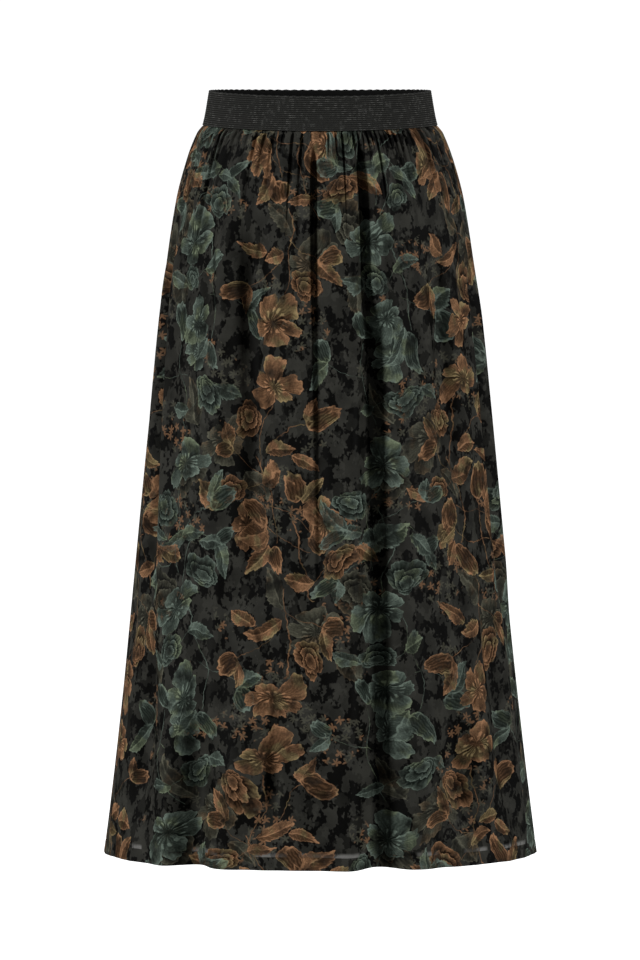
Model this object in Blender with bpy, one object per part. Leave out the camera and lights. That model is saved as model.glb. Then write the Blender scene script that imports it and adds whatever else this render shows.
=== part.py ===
"""Midi skirt: a wide ribbed elastic waistband, a gathered A-line front and back, and a plain lining.

Metres, +Z up. The front faces -Y and the wearer's left is +X. The origin is the middle of the
waistband, where the wearer's waist holds the skirt up. The cloth keeps its worn, hollow form.
"""

import math
from collections import namedtuple

import bmesh
import bpy

# Heights at the side seams
BAND_TOP = 0.0200
BAND_BOTTOM = -0.0193
HEM = -0.8580
HEM_ALLOWANCE = 0.0150  # depth of the turned-up hem
LINING_HEM = HEM + 0.0290  # the lining ends above the turned-up hem
SEAM_GAP = 0.0003  # room left where two pieces meet
WAIST_DIP = 0.0029  # the waistline is lower at the middle front and back than at the sides
DIP_FADES_AT = -0.1200

# Walls
BAND_WALL = 0.0022
CLOTH_WALL = 0.0015
HEM_WALL = 0.0027  # two layers, where the cloth is turned up
LINING_WALL = 0.0010

# Elastic ribs run round the band
RIBS = 17
RIB_RELIEF = 0.0005
BAND_SEGMENTS = 48

# Gathers: soft tucks below the elastic, dying out down the cloth
GATHERS = 48  # on each of the two panels
GATHER_RELIEF = 0.0019  # half the height from trough to crest, at the seam
GATHER_REACH = 0.0420  # drop over which a gather of middling length dies out

# Horizontal sections of the cloth at rest, without its folds. Depths are measured from the
# side seams.
Section = namedtuple("Section", "z half_width front_depth back_depth")
SECTIONS = [
    Section(0.0200, 0.1272, 0.0960, 0.0985),  # top of the waistband
    Section(-0.0193, 0.1348, 0.1010, 0.1045),  # waist seam
    Section(-0.0280, 0.1410, 0.1040, 0.1095),  # gathers spring out below the elastic
    Section(-0.0595, 0.1528, 0.1085, 0.1185),
    Section(-0.1057, 0.1650, 0.1120, 0.1280),  # high hip
    Section(-0.1980, 0.1788, 0.1175, 0.1385),  # fullest part of the seat
    Section(-0.3370, 0.1935, 0.1260, 0.1430),
    Section(-0.5680, 0.2156, 0.1395, 0.1485),  # knee
    Section(-0.7400, 0.2343, 0.1495, 0.1540),
    Section(-0.8580, 0.2490, 0.1535, 0.1580),  # hem
]

# The lining's rings, each with the room between it and the outline of the cloth above
LiningRing = namedtuple("LiningRing", "z room")
LINING_RINGS = [
    LiningRing(-0.0140, BAND_WALL + SEAM_GAP),  # caught just inside the elastic
    LiningRing(BAND_BOTTOM, 0.0068),
    LiningRing(-0.0280, 0.0085),
    LiningRing(-0.0450, 0.0105),
    LiningRing(-0.0700, 0.0120),
    LiningRing(-0.1200, 0.0135),
    LiningRing(-0.2200, 0.0150),
    LiningRing(-0.3700, 0.0170),
    LiningRing(-0.5700, 0.0205),
    LiningRing(LINING_HEM, 0.0260),
]

# The largest folds, as troughs in the cloth. Angles are degrees round from the middle front,
# towards +X, widths are degrees from a trough's middle to its shoulder, and depths are metres.
Fold = namedtuple("Fold", "from_z to_z top_angle low_angle top_width low_width top_depth low_depth")
FOLDS = [
    # front
    Fold(-0.030, -0.480, -1.5, 0.0, 3.0, 3.0, 0.0045, 0.0030),
    Fold(-0.030, -0.740, 14.5, 20.0, 3.0, 5.5, 0.0070, 0.0100),
    Fold(-0.560, HEM, 15.0, 8.0, 5.0, 7.5, 0.0050, 0.0210),
    Fold(-0.130, HEM, -82.0, -54.0, 3.0, 4.5, 0.0045, 0.0090),
    Fold(-0.060, -0.300, -66.0, -44.0, 4.0, 4.0, 0.0030, 0.0020),
    Fold(-0.120, -0.560, -29.0, -17.0, 5.0, 6.0, 0.0050, 0.0040),
    Fold(-0.560, HEM, -37.0, -34.0, 5.0, 5.5, 0.0030, 0.0090),
    Fold(-0.600, -0.850, -15.0, -13.5, 4.5, 4.5, 0.0030, 0.0060),
    Fold(-0.160, -0.560, 73.0, 78.0, 3.5, 4.0, 0.0040, 0.0040),
    Fold(-0.180, -0.480, 42.0, 46.0, 5.0, 5.0, 0.0035, 0.0030),
    Fold(-0.580, HEM, 38.0, 41.0, 5.0, 5.5, 0.0030, 0.0090),
    Fold(-0.500, HEM, 66.0, 67.0, 4.5, 5.0, 0.0020, 0.0060),
    # back
    Fold(-0.030, HEM, 176.0, 171.0, 3.0, 6.5, 0.0050, 0.0140),
    Fold(-0.040, -0.520, 155.0, 150.0, 3.5, 4.5, 0.0050, 0.0040),
    Fold(-0.090, HEM, 132.0, 139.0, 4.0, 5.5, 0.0040, 0.0110),
    Fold(-0.140, HEM, 104.0, 112.0, 3.5, 5.0, 0.0050, 0.0080),
    Fold(-0.050, -0.430, -168.0, -161.0, 3.0, 4.0, 0.0055, 0.0030),
    Fold(-0.240, HEM, -146.0, -150.0, 4.5, 6.0, 0.0040, 0.0120),
    Fold(-0.070, -0.560, -128.0, -124.0, 3.5, 5.0, 0.0045, 0.0040),
    Fold(-0.200, HEM, -107.0, -116.0, 4.0, 5.0, 0.0040, 0.0090),
]
FOLD_END_FADE = 0.0900  # length over which a fold that stops short of an edge dies out

# Heights of the rows of points down a panel, and how many steps each row has across it
PANEL_ROWS = [
    (BAND_BOTTOM - SEAM_GAP, 4 * GATHERS),
    (-0.0280, 4 * GATHERS),
    (-0.0480, 4 * GATHERS),
    (-0.0780, 2 * GATHERS),
    (-0.1080, 2 * GATHERS),
    (-0.1500, GATHERS),
    (-0.2150, GATHERS),
    (-0.2900, GATHERS),
    (-0.3750, GATHERS),
    (-0.4700, GATHERS),
    (-0.5700, GATHERS),
    (-0.6700, GATHERS),
    (-0.7650, GATHERS),
    (HEM + HEM_ALLOWANCE + 0.0005, GATHERS),
    (HEM + HEM_ALLOWANCE - 0.0005, GATHERS),
    (HEM, GATHERS),
]
LINING_STEPS = BAND_SEGMENTS // 2  # across each half of the lining

CLOTH_COLOUR = (0.020, 0.019, 0.017, 1.0)
ELASTIC_COLOUR = (0.022, 0.022, 0.021, 1.0)
LINING_COLOUR = (0.008, 0.008, 0.008, 1.0)


def smooth_step(value):
    """0 below 0, 1 above 1, and an S-curve between."""
    t = min(1.0, max(0.0, value))
    return t * t * (3.0 - 2.0 * t)


def section_at(z):
    """The section at a height, on a smooth curve through the table's rows."""
    last = len(SECTIONS) - 2
    i = next((k for k in range(last) if z >= SECTIONS[k + 1].z), last)
    upper, lower = SECTIONS[i], SECTIONS[i + 1]
    above, below = SECTIONS[max(i - 1, 0)], SECTIONS[min(i + 2, last + 1)]
    span = lower.z - upper.z
    t = min(1.0, max(0.0, (z - upper.z) / span))
    values = []
    for column in range(1, len(Section._fields)):
        slope_in = (lower[column] - above[column]) / (lower.z - above.z) * span
        slope_out = (below[column] - upper[column]) / (below.z - upper.z) * span
        values.append(
            upper[column] * (1 + 2 * t) * (1 - t) ** 2
            + slope_in * t * (1 - t) ** 2
            + lower[column] * t * t * (3 - 2 * t)
            + slope_out * t * t * (t - 1)
        )
    return Section(z, *values)


def fold_offset(degrees, z):
    """How far the folds push the cloth in (negative) or out at an angle and a height."""
    total = 0.0
    for fold in FOLDS:
        if not fold.to_z <= z <= fold.from_z:
            continue
        along = (z - fold.from_z) / (fold.to_z - fold.from_z)
        fade = smooth_step((fold.from_z - z) / FOLD_END_FADE)
        if fold.to_z > HEM:
            fade *= smooth_step((z - fold.to_z) / FOLD_END_FADE)
        middle = fold.top_angle + (fold.low_angle - fold.top_angle) * along
        width = fold.top_width + (fold.low_width - fold.top_width) * along
        depth = fold.top_depth + (fold.low_depth - fold.top_depth) * along
        away = abs((degrees - middle + 180.0) % 360.0 - 180.0) / width
        # a trough with a low swell on each side of it
        total -= fade * depth * (math.exp(-away * away) - 0.35 * math.exp(-((away - 1.9) ** 2)))
    return total


def gather_offset(turn, z):
    """The gathers' relief. turn counts gathers across a panel, and each has its own length."""
    drop = max(0.0, BAND_BOTTOM - z)
    reach = GATHER_REACH * (1.0 + 0.45 * math.sin(1.7 * turn + 0.6) * math.sin(0.43 * turn))
    fade = math.exp(-((drop / reach) ** 1.5))
    return GATHER_RELIEF * fade * (math.cos(2.0 * math.pi * turn) - 1.0)


def gather_angle(turn):
    """The angle of a place that lies a number of gathers across a panel, unevenly spaced."""
    share = turn / GATHERS
    uneven = 0.009 * math.sin(6 * math.pi * share) + 0.005 * math.sin(14 * math.pi * share + 1.0)
    ends = 0.005 * math.sin(1.0)
    return -90.0 + 180.0 * (share + uneven - ends)


def dipped(z, angle):
    """A height with the waistline's dip at the middle front and back."""
    return z - WAIST_DIP * math.cos(angle) ** 2 * smooth_step((z - DIP_FADES_AT) / 0.09)


def ring_point(degrees, z, outward):
    """A point on the section at z, moved outwards across the section's outline."""
    section = section_at(z)
    angle = math.radians(degrees)
    across, along = math.sin(angle), math.cos(angle)
    depth = section.front_depth if along >= 0 else section.back_depth
    normal_x, normal_y = across / section.half_width, -along / depth
    length = math.hypot(normal_x, normal_y)
    x = section.half_width * across + outward * normal_x / length
    y = -depth * along + outward * normal_y / length
    return x, y, dipped(z, angle)


def join_rows(mesh, first, second):
    """Faces between two rows of points that may differ in number."""
    if len(first) == len(second):
        for i in range(len(first) - 1):
            mesh.faces.new((first[i], first[i + 1], second[i + 1], second[i]))
        return
    i = j = 0
    while i < len(first) - 1 or j < len(second) - 1:
        next_first = (i + 1) / (len(first) - 1)
        next_second = (j + 1) / (len(second) - 1)
        if j == len(second) - 1 or (i < len(first) - 1 and next_first <= next_second):
            mesh.faces.new((first[i], first[i + 1], second[j]))
            i += 1
        else:
            mesh.faces.new((first[i], second[j + 1], second[j]))
            j += 1


def wall_object(name, outer, inner, closed_ring, material):
    """A closed wall between outer and inner rows of points, each listed from top to bottom."""
    mesh = bmesh.new()
    outer = [[mesh.verts.new(point) for point in row] for row in outer]
    inner = [[mesh.verts.new(point) for point in row] for row in inner]
    if closed_ring:
        for row in outer + inner:
            row.append(row[0])
    for rows in (outer, inner):
        for upper, lower in zip(rows, rows[1:]):
            join_rows(mesh, upper, lower)
    join_rows(mesh, outer[0], inner[0])
    join_rows(mesh, outer[-1], inner[-1])
    if not closed_ring:
        for end in (0, -1):
            join_rows(mesh, [row[end] for row in outer], [row[end] for row in inner])
    bmesh.ops.recalc_face_normals(mesh, faces=mesh.faces)
    data = bpy.data.meshes.new(name)
    mesh.to_mesh(data)
    mesh.free()
    data.shade_smooth()
    data.set_sharp_from_angle(angle=math.radians(60))
    data.materials.append(material)
    made = bpy.data.objects.new(name, data)
    bpy.data.collections["midi_skirt"].objects.link(made)
    return made


def cloth_material(name, colour, roughness):
    made = bpy.data.materials.new(name)
    made.use_nodes = True
    shader = made.node_tree.nodes["Principled BSDF"]
    shader.inputs["Base Color"].default_value = colour
    shader.inputs["Roughness"].default_value = roughness
    shader.inputs["Metallic"].default_value = 0.0
    return made


def make_waistband():
    """The elastic: one ring, ribbed outside and plain inside."""
    angles = [360.0 * i / BAND_SEGMENTS for i in range(BAND_SEGMENTS)]
    rows = 2 * RIBS + 1
    outer = []
    for row in range(rows):
        z = BAND_TOP + (BAND_BOTTOM - BAND_TOP) * row / (rows - 1)
        groove = 0.0 if row % 2 else -RIB_RELIEF
        outer.append([ring_point(a, z, groove) for a in angles])
    inner = [[ring_point(a, z, -BAND_WALL) for a in angles] for z in (BAND_TOP, BAND_BOTTOM)]
    elastic = cloth_material("ribbed_elastic", ELASTIC_COLOUR, 0.75)
    wall_object("waistband", outer, inner, True, elastic)


def make_panel(name, turned, material):
    """A front (turned 0) or back (turned 180) panel, with its gathers, folds and turned-up hem."""
    outer, inner = [], []
    for z, steps in PANEL_ROWS:
        wall = HEM_WALL if z < HEM + HEM_ALLOWANCE else CLOTH_WALL
        outer.append([])
        inner.append([])
        for step in range(steps + 1):
            turn = GATHERS * step / steps
            degrees = gather_angle(turn) + turned
            relief = gather_offset(turn, z) + fold_offset(degrees, z)
            outer[-1].append(ring_point(degrees, z, relief))
            inner[-1].append(ring_point(degrees, z, relief - wall))
    wall_object(name, part_at_seams(outer, turned), part_at_seams(inner, turned), False, material)


def make_lining(name, turned, material):
    """Half of the lining, a plain A-line tube inside the cloth."""
    outer, inner = [], []
    angles = [-90.0 + turned + 180.0 * i / LINING_STEPS for i in range(LINING_STEPS + 1)]
    for z, room in LINING_RINGS:
        outer.append([ring_point(a, z, -room) for a in angles])
        inner.append([ring_point(a, z, -room - LINING_WALL) for a in angles])
    wall_object(name, part_at_seams(outer, turned), part_at_seams(inner, turned), False, material)


def part_at_seams(rows, turned):
    """Moves a half that ends on the side seams away from them by half of the gap."""
    shift = SEAM_GAP / 2 if turned else -SEAM_GAP / 2
    return [[(x, y + shift, z) for x, y, z in row] for row in rows]


def main():
    for old in list(bpy.data.objects):
        bpy.data.objects.remove(old)
    bpy.context.scene.collection.children.link(bpy.data.collections.new("midi_skirt"))
    cloth = cloth_material("printed_cloth", CLOTH_COLOUR, 0.60)
    satin = cloth_material("lining_satin", LINING_COLOUR, 0.45)
    make_waistband()
    make_panel("skirt_front", 0.0, cloth)
    make_panel("skirt_back", 180.0, cloth)
    make_lining("lining_front", 0.0, satin)
    make_lining("lining_back", 180.0, satin)


main()
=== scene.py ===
"""The looks of a midi skirt: ribbed elastic waistband, printed gathered cloth and a plain lining.

Metres, +Z up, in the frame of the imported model: the front faces -Y, the wearer's left is +X, and
the origin is the middle of the waistband. The sections follow the skirt as it is sewn together.
"""

import math
import random
from collections import namedtuple

import bpy
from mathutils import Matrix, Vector


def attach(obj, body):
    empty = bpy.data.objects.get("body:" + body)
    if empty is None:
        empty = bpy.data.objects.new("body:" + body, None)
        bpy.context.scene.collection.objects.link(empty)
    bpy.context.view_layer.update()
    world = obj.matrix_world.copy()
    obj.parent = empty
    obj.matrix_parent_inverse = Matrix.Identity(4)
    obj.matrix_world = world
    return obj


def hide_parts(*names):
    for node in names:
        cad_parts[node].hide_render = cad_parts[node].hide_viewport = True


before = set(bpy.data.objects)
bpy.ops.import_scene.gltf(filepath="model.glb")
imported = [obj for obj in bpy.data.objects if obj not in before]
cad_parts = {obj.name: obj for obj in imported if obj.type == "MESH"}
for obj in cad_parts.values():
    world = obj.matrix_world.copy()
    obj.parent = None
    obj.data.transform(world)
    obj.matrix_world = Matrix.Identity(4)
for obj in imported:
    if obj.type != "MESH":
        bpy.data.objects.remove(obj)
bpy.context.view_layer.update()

# Waistband: 40 mm of ribbed elastic in black, joined into a ring, with painted highlights glinting
# in short dashes along its ribs.
# It stays outside, and its woven ribs run round the waist. Its top edge is gently scalloped, and
# the gathered cloth is sewn behind its lower edge.

BAND_TOP = 0.0200
BAND_BOTTOM = -0.0193
BAND_WALL = 0.0022
RIBS = 17
RIB_RELIEF = 0.0004
ROWS_TO_A_RIB = 6
ROWS_INSIDE = 12
SELVEDGE = 0.06  # share of the height that is plain at each edge
EDGE_ROUNDING = 0.0005
BAND_COLUMNS = 400
BAND_LENGTH = 0.712  # round the outside
BAND_INSIDE_FROM = 0.045  # where the inside starts in the flat coordinates
SCALLOPS = 80
SCALLOP_HEIGHT = 0.00035
SCALLOP_REACH = 0.004  # down from the top edge
WAIST_DIP = 0.0029  # the waistline is lower at the middle front and back than at the sides
DIP_ENDS = -0.1200  # height from which the cloth's rows are level
DIP_FADE = 0.09  # height above that over which the dip grows

# Horizontal sections of the worn skirt, without its folds, measured from the side seams
Section = namedtuple("Section", "z half_width front_depth back_depth")
SECTIONS = [
    Section(0.0200, 0.1272, 0.0960, 0.0985),  # top of the waistband
    Section(-0.0193, 0.1348, 0.1010, 0.1045),  # waist seam
    Section(-0.0280, 0.1410, 0.1040, 0.1095),  # gathers spring out below the elastic
    Section(-0.0595, 0.1528, 0.1085, 0.1185),
    Section(-0.1057, 0.1650, 0.1120, 0.1280),  # high hip
    Section(-0.1980, 0.1788, 0.1175, 0.1385),  # fullest part of the seat
    Section(-0.3370, 0.1935, 0.1260, 0.1430),
    Section(-0.5680, 0.2156, 0.1395, 0.1485),  # knee
    Section(-0.7400, 0.2343, 0.1495, 0.1540),
    Section(-0.8580, 0.2490, 0.1535, 0.1580),  # hem
]


def smooth_step(value):
    """0 below 0, 1 above 1, and an S-curve between."""
    t = min(1.0, max(0.0, value))
    return t * t * (3.0 - 2.0 * t)


def section_at(z):
    """The section at a height, on a smooth curve through the table's rows."""
    last = len(SECTIONS) - 2
    i = next((k for k in range(last) if z >= SECTIONS[k + 1].z), last)
    upper, lower = SECTIONS[i], SECTIONS[i + 1]
    above, below = SECTIONS[max(i - 1, 0)], SECTIONS[min(i + 2, last + 1)]
    span = lower.z - upper.z
    t = min(1.0, max(0.0, (z - upper.z) / span))
    values = []
    for column in range(1, len(Section._fields)):
        slope_in = (lower[column] - above[column]) / (lower.z - above.z) * span
        slope_out = (below[column] - upper[column]) / (below.z - upper.z) * span
        values.append(
            upper[column] * (1 + 2 * t) * (1 - t) ** 2
            + slope_in * t * (1 - t) ** 2
            + lower[column] * t * t * (3 - 2 * t)
            + slope_out * t * t * (t - 1)
        )
    return Section(z, *values)


def ring_point(degrees, section, outward):
    """A point on a section, moved outwards, at an angle from the middle front towards +X."""
    angle = math.radians(degrees)
    across, along = math.sin(angle), math.cos(angle)
    depth = section.front_depth if along >= 0 else section.back_depth
    normal_x, normal_y = across / section.half_width, -along / depth
    length = math.hypot(normal_x, normal_y)
    x = section.half_width * across + outward * normal_x / length
    y = -depth * along + outward * normal_y / length
    dip = WAIST_DIP * along * along * smooth_step((section.z - DIP_ENDS) / DIP_FADE)
    return x, y, section.z - dip


def deselect_all():
    """An operator works on all that is selected, so each new piece starts with nothing selected."""
    for other in bpy.context.selected_objects:
        other.select_set(False)


def write_cloth_uv(piece, flat_points):
    """A UV map in metres on the flat cloth. flat_points holds each vertex's place on it."""
    for layer in list(piece.data.uv_layers):
        piece.data.uv_layers.remove(layer)
    layer = piece.data.uv_layers.new(name="cloth")
    for loop in piece.data.loops:
        layer.data[loop.index].uv = flat_points[loop.vertex_index]


def band_profile():
    """The elastic's cross-section, down the outside and up the inside: (height, outward, flat)
    points, where flat is the distance down the outside, and past its end on the inside."""
    rows = RIBS * ROWS_TO_A_RIB
    points = []
    for row in range(rows + 1):
        share = row / rows
        plain = min(1.0, min(share, 1.0 - share) / SELVEDGE)
        groove = 1.0 - abs(math.sin(math.pi * RIBS * share)) ** 0.6
        edge = max(0.0, 1.0 - min(share, 1.0 - share) / 0.012)
        outward = -RIB_RELIEF * groove * plain - EDGE_ROUNDING * edge
        height = BAND_TOP + (BAND_BOTTOM - BAND_TOP) * share
        points.append((height, outward, BAND_TOP - height))
    for row in range(ROWS_INSIDE + 1):
        share = row / ROWS_INSIDE
        edge = max(0.0, 1.0 - min(share, 1.0 - share) / 0.05)
        outward = -BAND_WALL + EDGE_ROUNDING * edge
        height = BAND_BOTTOM + (BAND_TOP - BAND_BOTTOM) * share
        points.append((height, outward, BAND_INSIDE_FROM + height - BAND_BOTTOM))
    return points


profile = band_profile()
profile.append(profile[0])
deselect_all()
bpy.ops.mesh.primitive_grid_add(
    x_subdivisions=BAND_COLUMNS, y_subdivisions=len(profile) - 1, size=1.0
)
waistband = bpy.context.object
waistband.name = "elastic_waistband"
flat_points = []
for vertex in waistband.data.vertices:
    across = vertex.co.x + 0.5
    height, outward, flat_down = profile[round((0.5 - vertex.co.y) * (len(profile) - 1))]
    near_top = smooth_step((height - BAND_TOP + SCALLOP_REACH) / SCALLOP_REACH)
    scallop = SCALLOP_HEIGHT * near_top * math.cos(math.tau * SCALLOPS * across)
    x, y, z = ring_point(360.0 * across, section_at(height), outward)
    vertex.co = (x, y, z + scallop)
    flat_points.append((BAND_LENGTH * across, flat_down))
write_cloth_uv(waistband, flat_points)
bpy.ops.object.mode_set(mode="EDIT")
bpy.ops.mesh.select_all(action="SELECT")
bpy.ops.mesh.remove_doubles(threshold=0.00001)
bpy.ops.mesh.normals_make_consistent(inside=False)
bpy.ops.object.mode_set(mode="OBJECT")
bpy.ops.object.shade_smooth()


class Wire:
    """A number that varies over the cloth: a socket that sums and products add nodes to."""

    def __init__(self, tree, socket):
        self.tree = tree
        self.socket = socket

    def then(self, operation, *others):
        node = self.tree.nodes.new("ShaderNodeMath")
        node.operation = operation
        for place, value in zip(node.inputs, (self,) + others):
            plug(self.tree, value, place)
        return Wire(self.tree, node.outputs[0])

    def __add__(self, other):
        return self.then("ADD", other)

    def __sub__(self, other):
        return self.then("SUBTRACT", other)

    def __mul__(self, other):
        return self.then("MULTIPLY", other)

    def times_plus(self, factor, extra):
        return self.then("MULTIPLY_ADD", factor, extra)

    def steps(self, start, end):
        """0 at start and 1 at end, with an S-curve between, whichever is the larger."""
        node = self.tree.nodes.new("ShaderNodeMapRange")
        node.interpolation_type = "SMOOTHSTEP"
        # the curve ends flat by itself, and a clamp would need a second node, which makes a print
        # as long as this one too much for the renderer: the cloth turns black
        node.clamp = False
        plug(self.tree, self, node.inputs["Value"])
        node.inputs["From Min"].default_value = start
        node.inputs["From Max"].default_value = end
        return Wire(self.tree, node.outputs["Result"])

    def between(self, low, high):
        """low where this is 0 and high where it is 1."""
        node = self.tree.nodes.new("ShaderNodeMix")
        plug(self.tree, self, node.inputs["Factor"])
        plug(self.tree, low, node.inputs["A"])
        plug(self.tree, high, node.inputs["B"])
        return Wire(self.tree, node.outputs["Result"])


def plug(tree, value, socket):
    """Sets a socket to a number, or links a wire to it."""
    if isinstance(value, Wire):
        tree.links.new(value.socket, socket)
    else:
        socket.default_value = value


def mix_colour(tree, factor, low, high):
    """The colour low where factor is 0 and high where it is 1."""
    node = tree.nodes.new("ShaderNodeMix")
    node.data_type = "RGBA"
    plug(tree, factor, node.inputs[0])
    plug(tree, low, node.inputs[6])
    plug(tree, high, node.inputs[7])
    return Wire(tree, node.outputs[2])


def noise(tree, x, y, scale, detail, output="Fac"):
    """Soft noise on the flat cloth. x and y are in millimetres, and scale is in waves to each."""
    place = tree.nodes.new("ShaderNodeCombineXYZ")
    plug(tree, x, place.inputs["X"])
    plug(tree, y, place.inputs["Y"])
    node = tree.nodes.new("ShaderNodeTexNoise")
    node.noise_dimensions = "2D"
    tree.links.new(place.outputs[0], node.inputs["Vector"])
    node.inputs["Scale"].default_value = scale
    node.inputs["Detail"].default_value = detail
    return Wire(tree, node.outputs[output])


def noise_pair(tree, x, y, scale, detail):
    """Two soft noises of one scale that have nothing to do with each other."""
    colour = noise(tree, x, y, scale, detail, output="Color")
    parts = tree.nodes.new("ShaderNodeSeparateColor")
    plug(tree, colour, parts.inputs[0])
    return Wire(tree, parts.outputs[0]), Wire(tree, parts.outputs[1])


def cloth_material(name, roughness):
    """A new material with its shader, and the flat cloth's x and y in millimetres."""
    material = bpy.data.materials.new(name)
    material.use_nodes = True
    tree = material.node_tree
    shader = tree.nodes["Principled BSDF"]
    shader.inputs["Roughness"].default_value = roughness
    shader.inputs["Specular IOR Level"].default_value = 0.04  # cloth hardly shines
    place = tree.nodes.new("ShaderNodeUVMap")
    place.uv_map = "cloth"
    parts = tree.nodes.new("ShaderNodeSeparateXYZ")
    tree.links.new(place.outputs["UV"], parts.inputs[0])
    x = Wire(tree, parts.outputs["X"]) * 1000.0
    y = Wire(tree, parts.outputs["Y"]) * 1000.0
    return material, tree, shader, x, y


def add_bump(tree, shader, height, distance):
    """The finest relief, too small for the mesh. distance is in metres."""
    node = tree.nodes.new("ShaderNodeBump")
    node.inputs["Distance"].default_value = distance
    plug(tree, height, node.inputs["Height"])
    tree.links.new(node.outputs["Normal"], shader.inputs["Normal"])


ELASTIC_DARK = (0.0066, 0.0066, 0.0061, 1.0)
ELASTIC_LIGHT = (0.0310, 0.0310, 0.0285, 1.0)
PAINTED_GLINT = (0.1250, 0.1250, 0.1170, 1.0)
ELASTIC_INSIDE = (0.0040, 0.0040, 0.0038, 1.0)

elastic, tree, shader, x, y = cloth_material("black_elastic", roughness=0.70)
rib_share = y.times_plus(RIBS / ((BAND_TOP - BAND_BOTTOM) * 1000.0), 0.5)
in_rib = rib_share.then("FRACT")
crest = (in_rib - 0.5).then("ABSOLUTE").steps(0.12, 0.42)

# painted highlights: short light dashes glint on the ribs' crimps, more of them in some stretches
DASHES_A_MILLIMETRE = 0.42
dash_place = tree.nodes.new("ShaderNodeCombineXYZ")
plug(tree, (x * DASHES_A_MILLIMETRE).then("FLOOR"), dash_place.inputs["X"])
plug(tree, rib_share.then("FLOOR"), dash_place.inputs["Y"])
dash = tree.nodes.new("ShaderNodeTexWhiteNoise")
dash.noise_dimensions = "2D"
tree.links.new(dash_place.outputs[0], dash.inputs["Vector"])
patchy = noise(tree, x, y, 0.060, 3.0) - 0.5
thin = (in_rib - 0.5).then("ABSOLUTE").steps(0.30, 0.46)
painted_glints = (Wire(tree, dash.outputs["Value"]) + patchy * 0.3).steps(0.76, 0.95) * thin
cross_weave = (x * 6.3).then("SINE")
# painted shade and highlight: the colour is darker in the grooves between the ribs and lighter on
# their crests, besides the weave's own unevenness
tone = crest * 0.55 + cross_weave * 0.10 + noise(tree, x, y, 0.9, 3.0) * 0.35
colour = mix_colour(tree, tone, ELASTIC_DARK, ELASTIC_LIGHT)
# painted highlights on the ribs
colour = mix_colour(tree, painted_glints * 0.8, colour, PAINTED_GLINT)
on_inside = y.steps(BAND_INSIDE_FROM * 1000.0 - 3.0, BAND_INSIDE_FROM * 1000.0 - 1.0)
colour = mix_colour(tree, on_inside, colour, ELASTIC_INSIDE)
plug(tree, colour, shader.inputs["Base Color"])
add_bump(tree, shader, cross_weave * 0.5 + crest, 0.00012)
waistband.data.materials.clear()
waistband.data.materials.append(elastic)
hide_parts("waistband")
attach(waistband, "root")

# Outer cloth: a front and a back panel of the same semi-sheer print, sewn at the side seams,
# gathered into the waist seam and falling in soft folds to a hem that is turned up once inside.

HEM = -0.8580
HEM_TURN_UP = 0.0145
CLOTH_WALL = 0.0007
CLOTH_TOP = -0.0150  # tucked behind the elastic
CLOTH_COLUMNS = 384
CLOTH_ROWS = 107  # down the outside
HEM_ROWS = 6  # round the hem's edge and up the inside
GATHERS = 48  # on each panel
GATHER_RELIEF = 0.0030
SPRING_OUT = 0.0024  # from behind the elastic to just below its edge
STITCH_DRAW = 0.0005  # how far the hem's stitches draw the cloth in
DOUBLE_CLOTH = 0.0003  # how far the turned-up cloth stands out
SEAM_DRAW = 0.0011  # how far a side seam draws the cloth in
FOLDS_TOP = -0.022  # just below the waist seam
FOLD_START = 0.0500  # a fold from there reaches its full depth this far down
FOLD_START_LONGER = 0.25  # a fold from lower down takes this share of the way there longer
FOLD_END_FADE = 0.0900
FOLD_SHOULDER = 0.28  # height of the swell beside a trough, as a share of its depth
FOLD_SHOULDER_AT = 1.9  # in widths from the trough's middle
FLAT_TOP = 0.560  # a panel's flat width at the waist seam
FLAT_HEM = 0.705

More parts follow.
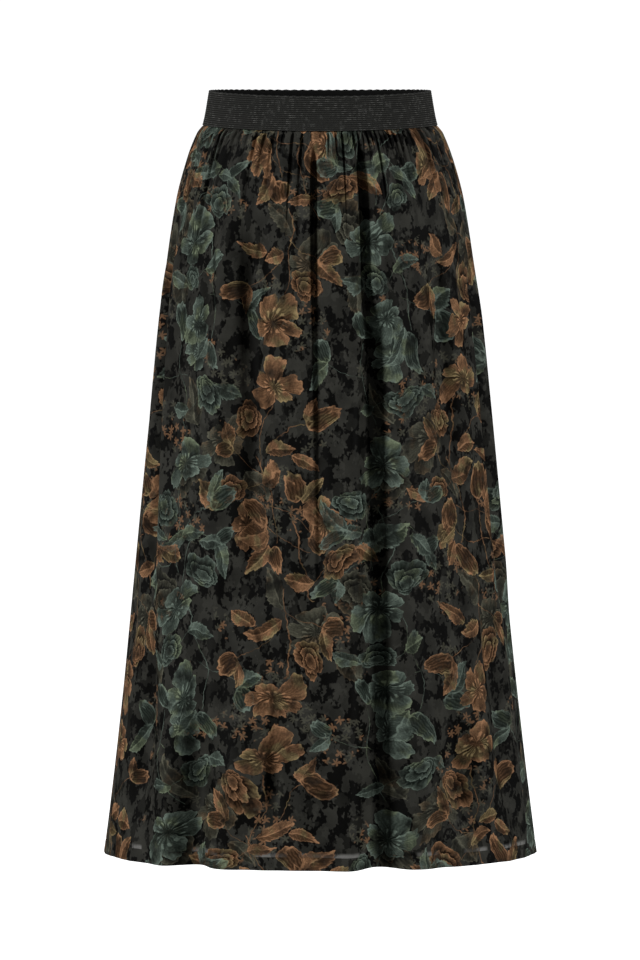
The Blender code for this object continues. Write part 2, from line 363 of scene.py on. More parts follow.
# The largest folds, as troughs. Angles are degrees round from the middle front, towards +X,
# widths are degrees from a trough's middle to its shoulder, and depths are metres. Its sides are
# steeper with a higher steepness, which is 2 for a soft round fold.
Fold = namedtuple(
    "Fold", "from_z to_z top_angle low_angle top_width low_width top_depth low_depth steepness"
)
FOLDS = [
    # front
    Fold(FOLDS_TOP, -0.600, -2.8, -0.9, 1.5, 2.8, 0.0140, 0.0060, 2.0),
    Fold(FOLDS_TOP, -0.290, 18.0, 16.5, 2.0, 2.4, 0.0170, 0.0130, 2.0),
    Fold(-0.185, HEM, 19.6, 16.4, 3.9, 5.2, 0.0210, 0.0265, 2.5),
    Fold(-0.130, -0.600, -76.0, -66.0, 3.0, 4.5, 0.0130, 0.0130, 2.0),
    Fold(-0.520, -0.840, -63.0, -59.0, 5.0, 6.0, 0.0150, 0.0150, 2.0),
    Fold(-0.060, -0.300, -52.0, -40.0, 4.0, 4.0, 0.0070, 0.0060, 2.0),
    Fold(-0.110, -0.580, -28.0, -19.5, 6.0, 7.0, 0.0190, 0.0180, 2.0),
    Fold(-0.600, HEM, -38.5, -36.0, 4.4, 5.2, 0.0210, 0.0220, 2.2),
    Fold(-0.600, -0.850, -14.5, -12.5, 4.4, 5.2, 0.0195, 0.0225, 2.2),
    Fold(-0.160, -0.600, 74.0, 77.0, 3.5, 4.0, 0.0120, 0.0110, 2.0),
    Fold(-0.140, -0.440, 48.0, 50.0, 4.5, 4.5, 0.0100, 0.0090, 2.0),
    Fold(-0.580, -0.850, 40.0, 42.0, 5.0, 5.5, 0.0110, 0.0180, 2.4),
    Fold(-0.480, -0.840, 62.0, 64.0, 4.5, 5.0, 0.0080, 0.0090, 2.0),
    # back
    Fold(FOLDS_TOP, HEM, 176.0, 171.0, 2.2, 4.8, 0.0150, 0.0270, 2.6),
    Fold(FOLDS_TOP, -0.520, 155.0, 150.0, 1.8, 3.6, 0.0130, 0.0100, 2.0),
    Fold(-0.090, -0.850, 132.0, 139.0, 3.6, 5.0, 0.0100, 0.0190, 2.4),
    Fold(-0.140, -0.845, 104.0, 112.0, 3.5, 5.0, 0.0090, 0.0120, 2.0),
    Fold(-0.030, -0.430, -168.0, -161.0, 1.8, 3.4, 0.0140, 0.0110, 2.0),
    Fold(-0.240, HEM, -146.0, -150.0, 4.2, 5.2, 0.0120, 0.0240, 2.6),
    Fold(-0.070, -0.560, -128.0, -124.0, 3.5, 4.8, 0.0110, 0.0120, 2.2),
    Fold(-0.200, -0.845, -107.0, -116.0, 4.0, 5.0, 0.0090, 0.0130, 2.0),
]


def fold_offset(degrees, z):
    """How far the folds push the cloth in (negative) or out at an angle and a height."""
    total = 0.0
    for fold in FOLDS:
        if not fold.to_z <= z <= fold.from_z:
            continue
        along = (z - fold.from_z) / (fold.to_z - fold.from_z)
        start = FOLD_START - FOLD_START_LONGER * (fold.from_z - FOLDS_TOP)
        fade = smooth_step((fold.from_z - z) / start)
        if fold.to_z > HEM:
            fade *= smooth_step((z - fold.to_z) / FOLD_END_FADE)
        middle = fold.top_angle + (fold.low_angle - fold.top_angle) * along
        width = fold.top_width + (fold.low_width - fold.top_width) * along
        depth = fold.top_depth + (fold.low_depth - fold.top_depth) * along
        away = abs((degrees - middle + 180.0) % 360.0 - 180.0) / width
        trough = math.exp(-(away**fold.steepness))
        shoulder = FOLD_SHOULDER * math.exp(-((away - FOLD_SHOULDER_AT) ** 2))
        total -= fade * depth * (trough - shoulder)
    return total


def gather_crowding(degrees):
    """How close together the gathers are: the closest lie to the right of the middle front."""
    crowding = 1.0
    for middle, spread, more in ((24.0, 17.0, 1.1), (-52.0, 12.0, 0.4), (168.0, 20.0, 0.9)):
        away = (degrees - middle + 180.0) % 360.0 - 180.0
        crowding += more * math.exp(-((away / spread) ** 2))
    return crowding


def gather_angles(turned):
    """The angle of each of a panel's columns, and its place along the gathers, counted in gathers.
    Each gather's columns lie close together in its crease."""
    quarter_degrees = 720
    counts = [0.0]
    for step in range(quarter_degrees):
        counts.append(counts[-1] + gather_crowding(turned - 90.0 + (step + 0.5) / 4.0))
    angles = []
    step = 0
    for column in range(CLOTH_COLUMNS + 1):
        gather, place = divmod(column * GATHERS / CLOTH_COLUMNS, 1.0)
        turn = gather
        if place:
            from_crease = 2.0 * place - 1.0
            turn += 0.5 + 0.5 * math.copysign(abs(from_crease) ** 1.5, from_crease)
        wanted = turn / GATHERS * counts[-1]
        while step < quarter_degrees - 1 and counts[step + 1] < wanted:
            step += 1
        share = (wanted - counts[step]) / (counts[step + 1] - counts[step])
        angles.append((turned - 90.0 + (step + share) / 4.0, turn))
    return angles


def gather_offset(turn, z, tucks):
    """The gathers' relief. Each tuck has a depth and a reach of its own, and lies flat where it is
    sewn behind the elastic."""
    drop = max(0.0, BAND_BOTTOM - z)
    depth, reach = tucks[min(int(turn), GATHERS - 1)]
    pinch = (0.5 - 0.5 * math.cos(2.0 * math.pi * turn)) ** 2.4
    grows = 0.35 + 0.65 * smooth_step(drop / 0.006)
    grows *= smooth_step((BAND_BOTTOM + 0.0014 - z) / 0.0012)
    return -2.0 * GATHER_RELIEF * depth * pinch * grows * math.exp(-((drop / reach) ** 1.2))


def ripple_offset(across, drop, ripples):
    """Soft uneven ripples that the gathers leave all the way down the cloth. Each comes and goes
    across the panel and wanders a little on its way down."""
    total = 0.0
    for count, height, phase in ripples:
        drift = 1.3 * math.sin(3.1 * drop + phase * 2.0) + 0.9 * math.sin(7.3 * drop + phase)
        swell = 0.55 + 0.45 * math.sin(math.tau * (2.3 * across + 0.9 * drop) + phase * 3.0)
        total += height * swell * math.sin(math.tau * count * across + phase + drift)
    return total * smooth_step(drop / 0.03)


def finish_cloth(piece, flat_points, wall, material):
    """Gives a one-layer sheet of cloth its UV map, thickness, shading and material."""
    write_cloth_uv(piece, flat_points)
    piece.data.materials.append(material)
    deselect_all()
    piece.select_set(True)
    bpy.context.view_layer.objects.active = piece
    solid = piece.modifiers.new("thickness", "SOLIDIFY")
    solid.thickness = wall
    solid.offset = -1.0
    bpy.ops.object.modifier_apply(modifier=solid.name)
    bpy.ops.object.shade_smooth_by_angle(angle=math.radians(50))


# Heights above the hem of the last rows down the outside, which follow its stitches and its edge,
# and of the rows up the inside of the turn-up. The first of those lies nearer to the outside.
LAST_ROWS = (0.0158, 0.0146, 0.0134, 0.0012, 0.0)
TURN_UP_ROWS = (-0.0005, 0.0, 0.004, 0.008, 0.012, HEM_TURN_UP)
TURN_UP_INSETS = (0.0009, 0.0018)

# Ripples: how many to a panel's width, and how high
RIPPLES = ((7.3, 0.0012), (11.9, 0.0010), (16.7, 0.0007), (23.7, 0.0005), (34.1, 0.0003))


def row_height(row):
    """The height of a row down the outside: close together at the gathers and at the hem."""
    plain_rows = CLOTH_ROWS - len(LAST_ROWS)
    if row > plain_rows:
        return HEM + LAST_ROWS[row - plain_rows - 1]
    share = row / plain_rows
    return CLOTH_TOP + (HEM + 0.0190 - CLOTH_TOP) * (0.15 * share + 0.85 * share**1.9)


def cloth_panel(name, turned, seed):
    """A front or back panel. turned is the angle of its middle, and seed sets its gathers."""
    random_numbers = random.Random(seed)
    tucks = []
    for gather in range(GATHERS):
        depth = random_numbers.uniform(0.55, 1.25)
        reach = 0.014 + 0.080 * random_numbers.random() ** 2.2
        tucks.append((depth, reach))
    ripples = []
    for count, height in RIPPLES:
        ripples.append((count, height, random_numbers.uniform(0.0, math.tau)))
    angles = gather_angles(turned)
    deselect_all()
    bpy.ops.mesh.primitive_grid_add(
        x_subdivisions=CLOTH_COLUMNS, y_subdivisions=CLOTH_ROWS + HEM_ROWS, size=1.0
    )
    piece = bpy.context.object
    piece.name = name
    seam_shift = 0.00002 if turned else -0.00002  # a hair's breadth between the two panels
    cut_at = 0.133 if turned else 0.0  # how far along the cloth the panel is cut
    flat_points = []
    for vertex in piece.data.vertices:
        across = vertex.co.x + 0.5
        row = round((0.5 - vertex.co.y) * (CLOTH_ROWS + HEM_ROWS))
        z = row_height(min(row, CLOTH_ROWS))
        share = (CLOTH_TOP - z) / (CLOTH_TOP - HEM)
        turned_up = max(0, row - CLOTH_ROWS)
        drop = max(0.0, BAND_BOTTOM - z)
        degrees, turn = angles[round(across * CLOTH_COLUMNS)]
        across = (degrees - turned) / 180.0 + 0.5
        relief = gather_offset(turn, z, tucks) + fold_offset(degrees, z)
        relief += ripple_offset(across, drop, ripples)
        # the cloth starts behind the elastic and springs out from under its edge
        relief -= SPRING_OUT * (1.0 - smooth_step((BAND_BOTTOM + 0.001 - z) / 0.0035))
        # the hem's stitches draw it in, and below them the cloth is double
        relief -= STITCH_DRAW * math.exp(-(((z - HEM - HEM_TURN_UP) / 0.0010) ** 2))
        relief += DOUBLE_CLOTH * smooth_step((HEM + HEM_TURN_UP - z) / 0.0015)
        flat_width = FLAT_TOP + (FLAT_HEM - FLAT_TOP) * share
        to_seam = (0.5 - abs(across - 0.5)) * flat_width
        relief -= SEAM_DRAW * math.exp(-((to_seam / 0.0022) ** 2))
        down = CLOTH_TOP - z
        if turned_up:
            relief -= TURN_UP_INSETS[min(turned_up, 2) - 1]
            z += TURN_UP_ROWS[turned_up - 1]
            down += 0.0010 + (z - HEM)
        x_place, y_place, z_place = ring_point(degrees, section_at(max(z, HEM)), relief)
        z_place += min(0.0, z - HEM)
        vertex.co = (x_place, y_place + seam_shift, z_place)
        flat_points.append(((across - 0.5) * flat_width + cut_at, -down))
    finish_cloth(piece, flat_points, CLOTH_WALL, printed_cloth)
    return piece


# The print: sprigs of flowers, buds and leaves in copper and in teal, printed see-through over a
# ground that is burnt out in ragged patches. Each motif is drawn once, in a size of 1.


def motif(name, draw):
    """A node group that draws a motif: how far it covers the ground at x and y, and its tone,
    which is 0 for an ink's deepest colour and 1 for its palest."""
    group = bpy.data.node_groups.new(name, "ShaderNodeTree")
    for label in ("x", "y"):
        group.interface.new_socket(label, in_out="INPUT", socket_type="NodeSocketFloat")
    for label in ("cover", "tone"):
        group.interface.new_socket(label, in_out="OUTPUT", socket_type="NodeSocketFloat")
    start = group.nodes.new("NodeGroupInput")
    end = group.nodes.new("NodeGroupOutput")
    drawn = draw(Wire(group, start.outputs["x"]), Wire(group, start.outputs["y"]))
    for wire, label in zip(drawn, ("cover", "tone")):
        group.links.new(wire.socket, end.inputs[label])
    return group


def draw_open_flower(x, y):
    """Five broad ruffled petals round a fan of stamens, with a radius of 1."""
    away = (x * x + y * y).then("SQRT")
    turn = y.then("ARCTAN2", x)
    petal = turn.times_plus(5 / math.tau, 0.5)
    across = petal.then("FRACT")
    side = (across - 0.5).then("ABSOLUTE")
    own_length = (petal.then("FLOOR") * 2.3).then("SINE").times_plus(0.12, 0.88)
    ruffle = (turn * 23.0).then("SINE") * 0.022
    inside = side.then("POWER", 4.0).times_plus(-5.6, own_length) + ruffle - away
    rim = inside.steps(0.075, 0.015)
    pale_edge = inside.steps(0.34, 0.02)
    shadow = across.steps(0.30, 0.0)
    lip = across.steps(0.86, 0.99)
    veins = (turn * 41.0 + (away * 8.0).then("SINE")).then("SINE")
    spokes = (turn * 13.0).then("SINE").steps(0.0, 0.9)
    anthers = spokes * (away - 0.34).then("ABSOLUTE").steps(0.085, 0.03)
    filaments = spokes * away.steps(0.34, 0.26) * away.steps(0.08, 0.13)
    heart = away.steps(0.48, 0.16)
    tone = rim * 0.34 + pale_edge * 0.28 + lip * 0.30 + 0.25 - shadow * 0.22 - heart * 0.14
    tone = veins.times_plus(0.06, tone) + filaments * 0.26 + anthers * 0.95
    return inside.steps(0.0, 0.03), tone


def draw_rose(x, y):
    """A half-open flower with a radius of 1: three rings of petals, one inside the other, each a
    little further up than the last."""
    cover = tone = None
    rings = ((5, 0.98, 0.0, 0.55), (4, 0.66, 0.14, 0.15), (3, 0.38, 0.24, 0.40))
    for petals, radius, rise, twist in rings:
        up = y - rise
        away = (x * x + up * up).then("SQRT")
        turn = up.then("ARCTAN2", x)
        side = (turn.times_plus(petals / math.tau, twist).then("FRACT") - 0.5).then("ABSOLUTE")
        ruffle = (turn * 19.0).then("SINE").times_plus(0.018, radius)
        inside = side.then("POWER", 3.0).times_plus(-1.7 * radius, ruffle) - away
        pale_edge = inside.steps(0.34, 0.0).times_plus(0.26, 0.10)
        ring_tone = inside.steps(0.09, 0.015) * 0.40 + pale_edge
        if cover is None:
            cover, tone = inside.steps(0.0, 0.04), ring_tone
        else:
            shaded = tone - inside.steps(-0.16, 0.0) * 0.16
            tone = inside.steps(0.0, 0.03).between(shaded, ring_tone)
    veins = (turn * 27.0 + away * 7.0).then("SINE")
    return cover, veins.times_plus(0.06, tone)


def draw_bud(x, y):
    """A closed bud from its stalk at 0 to its ragged tip at x = 1."""
    off_middle = y.then("ABSOLUTE")
    ragged_x = (y * 34.0).then("SINE") * 0.03 * x + x
    along = (ragged_x - 0.5) * 2.0
    oval = along * along + (off_middle * 2.9).then("POWER", 2.0)
    rim = oval.steps(0.66, 0.96)
    inner_oval = along * along + ((off_middle - 0.12) * 5.4).then("POWER", 2.0)
    inner_rim = (inner_oval - 0.62).then("ABSOLUTE").steps(0.14, 0.03)
    tip = ragged_x.steps(0.70, 0.95)
    veins = (y * 60.0).then("SINE")
    tone = rim * 0.62 + inner_rim * 0.34 + tip * 0.26 + 0.10
    return oval.steps(1.0, 0.93), veins.times_plus(0.06, tone)


def draw_leaf(x, y):
    """A serrated leaf from its stalk at 0 to its tip at x = 1."""
    bowed = (x * x - x) * 0.22 + y
    off_middle = bowed.then("ABSOLUTE")
    saw = (x * 8.0).then("FRACT")
    taper = x.then("MINIMUM", 1.0).times_plus(-0.34, 1.15)
    inside = (x - x * x) * taper - off_middle + saw * 0.035 - 0.01
    midrib = off_middle.steps(0.028, 0.008)
    veins = ((x - off_middle * 0.9) * 7.0).then("FRACT").steps(0.20, 0.0)
    tone = midrib * 0.44 + veins * 0.22 + inside.steps(0.07, 0.01) * 0.44 + 0.14
    tone = bowed.steps(-0.03, 0.03) * 0.24 + tone
    return inside.steps(0.0, 0.02), tone


def draw_stem(x, y):
    """A thin stem from 0 to x = 1, bowed to one side."""
    line = ((x - x * x) * 0.34 - y).then("ABSOLUTE")
    reach = x.steps(-0.01, 0.01) * x.steps(1.01, 0.99)
    return line.steps(0.0085, 0.0035) * reach * 0.8, line * 0.0 + 0.60


MOTIFS = {
    "flower": motif("open_flower", draw_open_flower),
    "rose": motif("rose", draw_rose),
    "bud": motif("bud", draw_bud),
    "leaf": motif("leaf", draw_leaf),
    "stem": motif("stem", draw_stem),
}

# Each sprig lists its motifs from the back to the front. Places and sizes are millimetres, turns
# are degrees, and a motif's height is its size times flatness.
Placed = namedtuple("Placed", "kind x y turn size flatness")
FLOWER_SPRIG = [
    Placed("stem", -12, -98, 84, 98, 1.0),
    Placed("stem", -7, -55, 38, 66, 1.0),
    Placed("stem", -10, -76, 146, 48, 1.0),
    Placed("leaf", 22, -58, -24, 34, 1.1),
    Placed("leaf", -9, -62, 22, 40, 1.1),
    Placed("leaf", -48, -50, 118, 38, 1.0),
    Placed("leaf", 43, -16, 78, 34, 1.0),
    Placed("bud", 41, -15, 18, 35, 1.0),
    Placed("bud", -48, -50, 196, 30, 0.95),
    Placed("rose", -32, -20, 20, 21, 1.0),
    Placed("flower", 3, 24, 12, 35, 0.86),
]
ROSE_SPRIG = [
    Placed("stem", 16, -92, 104, 104, 1.0),
    Placed("stem", 5, -36, 158, 56, 1.0),
    Placed("stem", 12, -66, 30, 52, 1.0),
    Placed("leaf", 54, -42, -22, 36, 1.1),
    Placed("leaf", -46, -14, 214, 38, 1.0),
    Placed("leaf", 2, 8, 60, 42, 1.1),
    Placed("leaf", 12, -66, 196, 34, 1.1),
    Placed("bud", -46, -14, 132, 35, 1.0),
    Placed("bud", -4, 12, 108, 38, 0.9),
    Placed("flower", 24, -6, 70, 30, 0.80),
    Placed("rose", 42, -54, 0, 20, 0.9),
]
FAINT_SPRIG = [
    Placed("leaf", -26, 21, 120, 52, 1.1),
    Placed("leaf", 32, -26, -50, 48, 1.1),
    Placed("flower", 5, 2, 200, 38, 0.85),
    Placed("rose", -39, -40, 60, 25, 0.9),
]


def turned_by(x, y, placed):
    """x and y as a motif sees them from its own place, turn and size."""
    cosine = math.cos(math.radians(placed.turn)) / placed.size
    sine = math.sin(math.radians(placed.turn)) / placed.size
    start_x = -placed.x * cosine - placed.y * sine
    start_y = (placed.x * sine - placed.y * cosine) / placed.flatness
    own_x = x.times_plus(cosine, y.times_plus(sine, start_x))
    own_y = x.times_plus(-sine / placed.flatness, y.times_plus(cosine / placed.flatness, start_y))
    return own_x, own_y


def sprig(name, placed_motifs):
    """A node group that draws a whole sprig from its motifs, each over those before it."""

    def draw(x, y):
        cover, tone = x * 0.0, x * 0.0
        for placed in placed_motifs:
            own_x, own_y = turned_by(x, y, placed)
            node = x.tree.nodes.new("ShaderNodeGroup")
            node.node_tree = MOTIFS[placed.kind]
            plug(x.tree, own_x, node.inputs["x"])
            plug(x.tree, own_y, node.inputs["y"])
            own_cover = Wire(x.tree, node.outputs["cover"])
            tone = own_cover.between(tone, Wire(x.tree, node.outputs["tone"]))
            cover = cover.then("MAXIMUM", own_cover)
        return cover, tone

    return motif(name, draw)


REPEAT_ACROSS = 246.0
REPEAT_DOWN = 422.0


def nearest_place(x, y, middle_x, middle_y):
    """x and y from the nearest place of a sprig in its half-drop repeat, and 1 where that place
    is in the upright rows. In the rows between, the sprig hangs upside down."""
    half_across, half_down = REPEAT_ACROSS / 2, REPEAT_DOWN / 2
    upright_x = (x - middle_x).then("WRAP", half_across, -half_across)
    upright_y = (y - middle_y).then("WRAP", half_down, -half_down)
    hung_x = (x - middle_x).then("WRAP", REPEAT_ACROSS, 0.0) - half_across
    hung_y = (y - middle_y).then("WRAP", REPEAT_DOWN, 0.0) - half_down
    upright_away = upright_x * upright_x + upright_y * upright_y
    hung_away = hung_x * hung_x + hung_y * hung_y
    upright = upright_away.then("LESS_THAN", hung_away)
    own_x = upright.between(hung_x * -1.0, upright_x)
    own_y = upright.between(hung_y * -1.0, upright_y)
    return own_x, own_y, upright


# The sprigs' places in one repeat, and their inks in the upright rows and in the hung ones
SprigPlace = namedtuple("SprigPlace", "kind x y upright_ink hung_ink")
SPRIG_PLACES = [
    SprigPlace("faint_sprig", 121, 62, "olive", "olive"),
    SprigPlace("rose_sprig", 62, 167, "teal", "copper"),
    SprigPlace("flower_sprig", -55, 107, "copper", "teal"),
    SprigPlace("rose_sprig", -18, -18, "copper", "teal"),
    SprigPlace("flower_sprig", 74, 11, "teal", "copper"),
]

# An ink's colours, where mixed is its palest where it runs together with the others
Ink = namedtuple("Ink", "deepest palest mixed")
INKS = {
    "copper": Ink(
        deepest=(0.0110, 0.0052, 0.0020, 1.0),
        palest=(0.3050, 0.1620, 0.0840, 1.0),
        mixed=(0.2600, 0.1950, 0.0950, 1.0),
    ),
    "teal": Ink(
        deepest=(0.0048, 0.0074, 0.0056, 1.0),
        palest=(0.1300, 0.1660, 0.1370, 1.0),
        mixed=(0.1560, 0.1880, 0.1200, 1.0),
    ),
    "olive": Ink(
        deepest=(0.0045, 0.0045, 0.0032, 1.0),
        palest=(0.0920, 0.0900, 0.0650, 1.0),
        mixed=(0.1150, 0.0860, 0.0530, 1.0),
    ),
}
GROUND_DARK = (0.0012, 0.0012, 0.0010, 1.0)
GROUND_LIGHT = (0.0300, 0.0297, 0.0252, 1.0)
PAINTED_DAYLIGHT = (0.1500, 0.1480, 0.1400, 1.0)

sprigs = {
    "flower_sprig": sprig("flower_sprig", FLOWER_SPRIG),
    "rose_sprig": sprig("rose_sprig", ROSE_SPRIG),
    "faint_sprig": sprig("faint_sprig", FAINT_SPRIG),
}
printed_cloth, tree, shader, x, y = cloth_material("floral_print", roughness=0.60)

# the ground: black, dark and lighter grey patches with ragged upright edges
fringe = noise(tree, x, y * 0.7, 0.27, 2.0) - 0.5
ragged = fringe.times_plus(0.46, noise(tree, x, y * 0.65, 0.066, 1.0))
lighter = fringe.times_plus(0.40, noise(tree, x + 400.0, y * 0.7, 0.050, 1.0))
mottle = noise(tree, x, y, 0.030, 3.0)
patches = ragged.steps(0.485, 0.505) * 0.62 + lighter.steps(0.54, 0.56) * 0.26 + 0.02
colour = mix_colour(tree, patches * mottle.times_plus(1.6, 0.2), GROUND_DARK, GROUND_LIGHT)

# painted light: just above the turned-up hem there is no lining behind, so daylight seen through
# thin places is painted into the cloth's colour
hem_edge = (HEM - CLOTH_TOP) * 1000.0
turn_up_edge = hem_edge + HEM_TURN_UP * 1000.0
above_turn_up = y.steps(turn_up_edge, turn_up_edge + 0.6)
above_turn_up = above_turn_up * y.steps(turn_up_edge + 6.5, turn_up_edge + 2.0)
thin_places = noise(tree, x + 20.0, y * 0.3, 0.035, 2.0).steps(0.42, 0.52)
thin_places = thin_places * patches.times_plus(0.7, 0.42)
colour = mix_colour(tree, above_turn_up * thin_places, colour, PAINTED_DAYLIGHT)

# tiny star-shaped blossoms in loose groups
cell = tree.nodes.new("ShaderNodeTexVoronoi")
cell.voronoi_dimensions = "2D"
cell.inputs["Scale"].default_value = 0.080
cell.inputs["Randomness"].default_value = 0.75
cell_place = tree.nodes.new("ShaderNodeCombineXYZ")
plug(tree, x, cell_place.inputs["X"])
plug(tree, y, cell_place.inputs["Y"])
tree.links.new(cell_place.outputs[0], cell.inputs["Vector"])
centre = tree.nodes.new("ShaderNodeSeparateXYZ")
tree.links.new(cell.outputs["Position"], centre.inputs[0])
across_star = x - Wire(tree, centre.outputs["X"])
up_star = y - Wire(tree, centre.outputs["Y"])
turn = up_star.then("ARCTAN2", across_star)
petals = (turn * 5.0 + mottle * 30.0).then("COSINE")
star = (petals.times_plus(1.9, 3.9) - Wire(tree, cell.outputs["Distance"]) * 12.5).steps(0.0, 0.8)
grouped = noise(tree, x + 90.0, y + 40.0, 0.0135, 0.0).steps(0.600, 0.615)
star_ink = mix_colour(tree, mottle.steps(0.42, 0.50), INKS["copper"].palest, INKS["olive"].palest)
colour = mix_colour(tree, star * grouped * 0.40, colour, star_ink)

# a hand-drawn waver in every outline: slow bends, and a fine unevenness
bend_x, bend_y = noise_pair(tree, x, y, 0.020, 0.0)
uneven_x, uneven_y = noise_pair(tree, x, y, 0.130, 2.0)
wavy_x = bend_x.times_plus(27.0, uneven_x.times_plus(4.3, x - 15.4))
wavy_y = bend_y.times_plus(27.0, uneven_y.times_plus(4.3, y - 15.4))

# the inks are worn, grainy and see-through, and run together here and there
worn = noise(tree, x, y, 0.055, 3.0)
grain = worn.times_plus(3.4, -0.65) * noise(tree, x, y, 0.55, 2.0).times_plus(1.1, 0.45)
see_through = patches.times_plus(0.32, worn.steps(0.30, 0.55).times_plus(0.30, 0.50))
run_together = noise(tree, x + 60.0, y, 0.040, 2.0).steps(0.50, 0.66)
inks = {}
for name, ink in INKS.items():
    inks[name] = (ink.deepest, mix_colour(tree, run_together, ink.palest, ink.mixed))
for place in SPRIG_PLACES:
    sprig_x, sprig_y, upright = nearest_place(wavy_x, wavy_y, place.x, place.y)
    node = tree.nodes.new("ShaderNodeGroup")
    node.node_tree = sprigs[place.kind]
    plug(tree, sprig_x, node.inputs["x"])
    plug(tree, sprig_y, node.inputs["y"])
    cover = Wire(tree, node.outputs["cover"])
    tone = Wire(tree, node.outputs["tone"]) * grain
    ink = mix_colour(tree, tone, *inks[place.hung_ink])
    if place.upright_ink != place.hung_ink:
        ink = mix_colour(tree, upright, ink, mix_colour(tree, tone, *inks[place.upright_ink]))
    colour = mix_colour(tree, cover * see_through, colour, ink)

plug(tree, colour, shader.inputs["Base Color"])
weave = (x * 8.0).then("SINE") * (y * 8.0).then("SINE")
add_bump(tree, shader, weave * 0.3 + fringe, 0.00012)

for name, cad_node, turned, seed in (
    ("printed_cloth_front", "skirt_front", 0.0, 11),
    ("printed_cloth_back", "skirt_back", 180.0, 29),
):
    panel = cloth_panel(name, turned, seed)
    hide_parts(cad_node)
    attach(panel, "root")

# Lining: two plain black satin panels, sewn to each other at the sides and to the waist seam just
# inside the elastic. It is narrower than the outer cloth and stops above its hem.

LINING_TOP = -0.0140
LINING_HEM = -0.8290
LINING_WALL = 0.0007
LINING_COLUMNS = 150
LINING_ROWS = 70
LINING_TURN_UP = 0.012
LINING_TURN_UP_RELIEF = 0.0004
LINING_RIPPLE = 0.0016
LINING_EASE = 0.0006  # small puckers along the waist seam
LINING_GIVES_AFTER = 0.006  # a fold this deep just reaches the lining

# The room between the lining and the outline of the outer cloth
LiningRoom = namedtuple("LiningRoom", "z room")
LINING_ROOMS = [
    LiningRoom(-0.0140, 0.0036),
    LiningRoom(-0.0193, 0.0072),
    LiningRoom(-0.0280, 0.0120),
    LiningRoom(-0.0450, 0.0165),
    LiningRoom(-0.0700, 0.0180),
    LiningRoom(-0.1200, 0.0190),
    LiningRoom(-0.2200, 0.0190),
    LiningRoom(-0.3700, 0.0190),
    LiningRoom(-0.5700, 0.0215),
    LiningRoom(-0.8290, 0.0265),
]


def lining_room(z):
    """The room at a height, on straight lines between the table's rows."""
    for upper, lower in zip(LINING_ROOMS, LINING_ROOMS[1:]):
        if z >= lower.z:
            share = (z - upper.z) / (lower.z - upper.z)
            return upper.room + (lower.room - upper.room) * share
    return LINING_ROOMS[-1].room


def lining_half(name, turned):
    """A front or back lining panel, without its seam allowances."""
    deselect_all()
    bpy.ops.mesh.primitive_grid_add(
        x_subdivisions=LINING_COLUMNS, y_subdivisions=LINING_ROWS, size=1.0
    )
    piece = bpy.context.object
    piece.name = name
    flat_points = []
    for vertex in piece.data.vertices:
        across, down = vertex.co.x + 0.5, 0.5 - vertex.co.y
        z = LINING_TOP + (LINING_HEM - LINING_TOP) * down
        degrees = -90.0 + 180.0 * across + turned
        drop = LINING_TOP - z
        wave = math.sin(math.radians(degrees) * 11 + 2.2 * drop)
        ripple = LINING_RIPPLE * smooth_step(drop / 0.25) * wave
        pucker = math.exp(-drop / 0.06) * math.sin(across * 210.0)
        ease = LINING_EASE * smooth_step(drop / 0.02) * pucker
        doubled = smooth_step((LINING_HEM + LINING_TURN_UP - z) / 0.0008)
        turn_up = LINING_TURN_UP_RELIEF * doubled
        section = section_at(z)
        # it gives way where a deep fold of the outer cloth pushes on it
        pushed = min(0.0, fold_offset(degrees, z) + LINING_GIVES_AFTER)
        outward = -lining_room(z) + ripple + ease + turn_up + pushed
        vertex.co = ring_point(degrees, section, outward)
        mean_radius = math.hypot(section.half_width, section.front_depth) / math.sqrt(2)
        half_round = math.pi * mean_radius
        flat_points.append(((across - 0.5) * half_round, drop))
    finish_cloth(piece, flat_points, LINING_WALL, satin)
    return piece


SATIN = (0.0075, 0.0075, 0.0080, 1.0)
SATIN_WORN = (0.0120, 0.0120, 0.0125, 1.0)
satin, tree, shader, x, y = cloth_material("black_satin", roughness=0.42)
threads = (x * 9.0).then("SINE") * (y * 9.0).then("SINE")
colour = mix_colour(tree, noise(tree, x, y, 0.02, 3.0).steps(0.35, 0.7), SATIN, SATIN_WORN)
plug(tree, colour, shader.inputs["Base Color"])
add_bump(tree, shader, threads * 0.4 + noise(tree, x, y, 0.35, 2.0), 0.00025)
for name, cad_node, turned in (
    ("lining_satin_front", "lining_front", 0.0),
    ("lining_satin_back", "lining_back", 180.0),
):
    lining = lining_half(name, turned)
    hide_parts(cad_node)
    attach(lining, "root")

# Studio: a plain pale floor that fills the view, soft light from all round, and a camera far off
# at the photograph's angle, a little above the skirt.

FLOOR = -1.15
CAMERA_DISTANCE = 8.0
CAMERA_ELEVATION = 5.4
CAMERA_TARGET = -0.4275
MILLIMETRES_A_PIXEL = 1.15
PICTURE_HEIGHT = 960
SENSOR = 36.0
ROOM_LIGHT = 0.20
FLOOR_LIGHT = 3.3

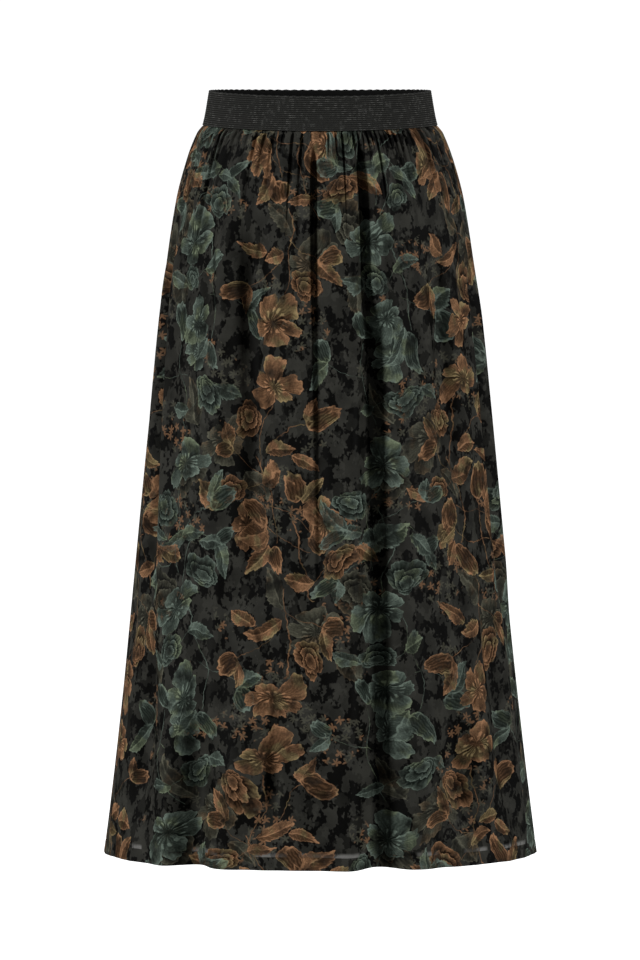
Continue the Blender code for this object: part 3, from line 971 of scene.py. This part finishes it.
deselect_all()
bpy.ops.mesh.primitive_plane_add(size=120.0, location=(0.0, 0.0, FLOOR))
floor = bpy.context.object
floor.name = "pale_floor"
floor_paint = bpy.data.materials.new("pale_floor")
floor_paint.use_nodes = True
floor_shader = floor_paint.node_tree.nodes["Principled BSDF"]
floor_shader.inputs["Base Color"].default_value = (0.95, 0.95, 0.95, 1.0)
floor_shader.inputs["Roughness"].default_value = 0.9
floor_shader.inputs["Specular IOR Level"].default_value = 0.0
floor.data.materials.append(floor_paint)
floor.visible_diffuse = False  # its glare would flatten the folds
floor.visible_glossy = False

world = bpy.data.worlds.new("studio")
world.use_nodes = True
world.node_tree.nodes["Background"].inputs["Color"].default_value = (1.0, 1.0, 1.0, 1.0)
world.node_tree.nodes["Background"].inputs["Strength"].default_value = ROOM_LIGHT
bpy.context.scene.world = world

Softbox = namedtuple("Softbox", "name place size watts")
for softbox in (
    Softbox("left", (-4.7, -2.6, 1.5), 1.1, 300.0),
    Softbox("right", (4.6, -2.5, 1.1), 1.1, 235.0),
):
    light = bpy.data.lights.new(softbox.name, "AREA")
    light.size = softbox.size
    light.energy = softbox.watts
    lamp = bpy.data.objects.new(softbox.name, light)
    bpy.context.scene.collection.objects.link(lamp)
    lamp.location = softbox.place
    aim = Vector((0.0, 0.0, CAMERA_TARGET)) - lamp.location
    lamp.rotation_euler = aim.to_track_quat("-Z", "Y").to_euler()

# a wide, soft light from high behind keeps the floor white and leaves the front to the softboxes
light = bpy.data.lights.new("floor_light", "SUN")
light.energy = FLOOR_LIGHT
light.angle = math.radians(40)
lamp = bpy.data.objects.new("floor_light", light)
bpy.context.scene.collection.objects.link(lamp)
lamp.rotation_euler = (math.radians(-28), 0.0, 0.0)

camera_data = bpy.data.cameras.new("camera")
camera_data.sensor_width = SENSOR
camera_data.lens = CAMERA_DISTANCE * 1000.0 / (MILLIMETRES_A_PIXEL * PICTURE_HEIGHT) * SENSOR
camera_data.clip_end = 200.0
camera = bpy.data.objects.new("camera", camera_data)
bpy.context.scene.collection.objects.link(camera)
elevation = math.radians(CAMERA_ELEVATION)
camera.location = (
    0.0,
    -CAMERA_DISTANCE * math.cos(elevation),
    CAMERA_TARGET + CAMERA_DISTANCE * math.sin(elevation),
)
camera.rotation_euler = (math.pi / 2 - elevation, 0.0, 0.0)
bpy.context.scene.camera = camera
bpy.context.scene.view_settings.view_transform = "Standard"
